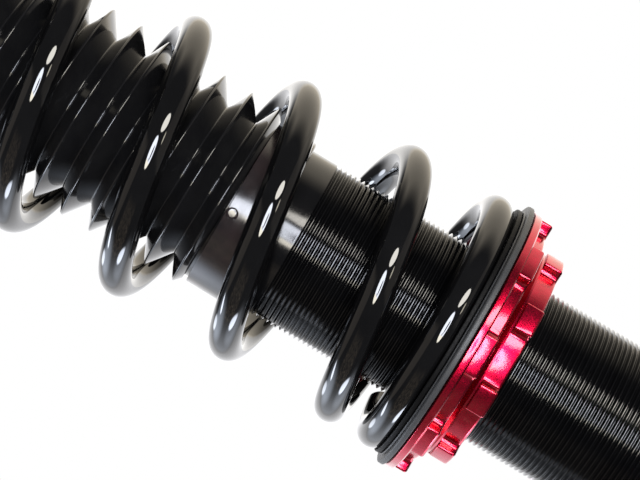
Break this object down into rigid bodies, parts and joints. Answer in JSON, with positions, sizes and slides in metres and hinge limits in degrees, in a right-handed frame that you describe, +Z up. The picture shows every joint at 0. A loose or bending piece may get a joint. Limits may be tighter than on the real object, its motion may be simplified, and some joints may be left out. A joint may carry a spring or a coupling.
{
  "type": "coilover strut",
  "caption": "Coilover suspension strut: threaded tube, coil spring on a red adjustable seat with a lock ring, ribbed boot, ball-jointed top mount and a two-eared lower bracket.",
  "frame": {"origin": "centre of the top mount plate's upper face, on the rod's axis", "axes": "+Z up along the strut towards the car's body, +Y towards the two bracket ears"},
  "size_m": [0.1196, 0.1305, 0.4301],
  "materials": {
    "gloss_black_spring": "gloss",
    "black_thread": "satin black plating on steel",
    "red_anodised": "red anodised, fine grain",
    "grey_disc": "dull grey",
    "black_sheet": "matt",
    "boot_rubber": "glossy moulded rubber",
    "smoky_collar": "smoky gloss",
    "chrome_rod": "polished",
    "zinc_steel": "zinc plated",
    "black_steel": "black oxide",
    "bare_aluminium": "turned",
    "black_anodised": "black anodised",
    "bump_foam": "foamed polyurethane",
    "seal_rubber": "matt",
    "piston_band": "bronze-filled low-friction plastic",
    "powder_black": "powder coat"
  },
  "bodies": {
    "top_mount": {"mount_plate": "black_anodised", "mount_stud_1": "zinc_steel", "mount_stud_2": "zinc_steel", "mount_stud_3": "zinc_steel"},
    "camber_carrier": {"ball_carrier": "bare_aluminium", "carrier_screw_1": "zinc_steel", "carrier_screw_2": "zinc_steel", "carrier_screw_3": "zinc_steel", "carrier_screw_4": "zinc_steel", "pillow_race": "zinc_steel", "race_circlip": "black_steel"},
    "ball_liner": {"pillow_liner": "piston_band"},
    "rod": {"piston_rod": "chrome_rod", "pillow_ball": "chrome_rod", "lower_collar": "bare_aluminium", "upper_collar": "bare_aluminium", "top_lock_nut": "zinc_steel", "bearing_upper_race": "chrome_rod", "bump_stop": "bump_foam", "rebound_spacer": "black_steel", "piston": "zinc_steel", "piston_band_ring": "piston_band", "piston_nut": "zinc_steel"},
    "adjuster": {"damping_knob": "red_anodised"},
    "bearing_cage": {"thrust_bearing_cage": "zinc_steel"},
    "upper_seat": {"upper_spring_seat": "black_anodised", "bearing_lower_race": "chrome_rod", "upper_spring_sheet": "black_sheet", "boot_top_ring": "black_steel", "coil_spring": "gloss_black_spring", "dust_boot": "boot_rubber"},
    "tube": {"strut_tube": "black_thread", "boot_collar": "smoky_collar", "gland_nut": "black_anodised", "rod_seal": "seal_rubber", "rod_guide": "bare_aluminium", "pressure_tube": "zinc_steel", "base_cap": "black_steel"},
    "gas_piston": {"free_piston": "bare_aluminium", "free_piston_oring": "seal_rubber"},
    "spring_seat": {"seat_disc": "grey_disc", "seat_sheet": "black_sheet"},
    "seat_ring": {"spring_seat_ring": "red_anodised"},
    "lock_ring": {"seat_lock_ring": "red_anodised"},
    "bracket": {"bracket_socket": "powder_black", "bracket_ear_left": "powder_black", "bracket_ear_right": "powder_black", "bracket_web": "powder_black", "stabiliser_tab": "powder_black", "brake_hose_tab": "powder_black"},
    "bracket_ring": {"bracket_lock_ring": "red_anodised"}
  },
  "joints": [
    {"name": "camber_slide", "type": "slide", "parent": "top_mount", "child": "camber_carrier", "axis": [1, 0, 0], "range_m": [-0.006, 0.006]},
    {"name": "ball_tilt_x", "type": "hinge", "parent": "camber_carrier", "child": "ball_liner", "pos_m": [0, 0, -0.011], "axis": [1, 0, 0], "range_deg": [-6, 6]},
    {"name": "ball_tilt_y", "type": "hinge", "parent": "ball_liner", "child": "rod", "pos_m": [0, 0, -0.011], "axis": [0, 1, 0], "range_deg": [-6, 6]},
    {"name": "adjuster_turn", "type": "hinge", "parent": "rod", "child": "adjuster", "pos_m": [0, 0, 0.0296], "axis": [0, 0, 1], "range_deg": [0, 900]},
    {"name": "steer", "type": "hinge", "parent": "rod", "child": "upper_seat", "pos_m": [0, 0, -0.038], "axis": [0, 0, 1], "range_deg": [-45, 45]},
    {"name": "cage_turn", "type": "hinge", "parent": "rod", "child": "bearing_cage", "pos_m": [0, 0, -0.0346], "axis": [0, 0, 1], "range_deg": [-22.6, 22.6]},
    {"name": "damper_stroke", "type": "slide", "parent": "upper_seat", "child": "tube", "axis": [0, 0, 1], "range_m": [0, 0.065], "stiffness_N_per_m": 46000, "deforming": ["coil_spring", "dust_boot"]},
    {"name": "gas_piston_slide", "type": "slide", "parent": "tube", "child": "gas_piston", "axis": [0, 0, 1], "range_m": [-0.0176, 0]},
    {"name": "spring_seat_slide", "type": "slide", "parent": "tube", "child": "spring_seat", "axis": [0, 0, 1], "range_m": [-0.012, 0]},
    {"name": "seat_ring_turn", "type": "hinge", "parent": "spring_seat", "child": "seat_ring", "pos_m": [0, 0, -0.2333], "axis": [0, 0, 1], "range_deg": [-2885, 5]},
    {"name": "lock_ring_turn", "type": "hinge", "parent": "spring_seat", "child": "lock_ring", "pos_m": [0, 0, -0.2406], "axis": [0, 0, 1], "range_deg": [-2885, 5]},
    {"name": "bracket_slide", "type": "slide", "parent": "tube", "child": "bracket", "axis": [0, 0, 1], "range_m": [-0.015, 0.0225]},
    {"name": "bracket_ring_turn", "type": "hinge", "parent": "bracket", "child": "bracket_ring", "pos_m": [0, 0, -0.297], "axis": [0, 0, 1], "range_deg": [-3610, 5410]}
  ],
  "couplings": [
    {"joint": "cage_turn", "follows": "steer", "ratio": 0.5},
    {"joint": "gas_piston_slide", "follows": "damper_stroke", "ratio": -0.268},
    {"joint": "seat_ring_turn", "follows": "spring_seat_slide", "rad_per_m": 4188.8},
    {"joint": "lock_ring_turn", "follows": "spring_seat_slide", "rad_per_m": 4188.8},
    {"joint": "bracket_ring_turn", "follows": "bracket_slide", "rad_per_m": 4188.8}
  ]
}
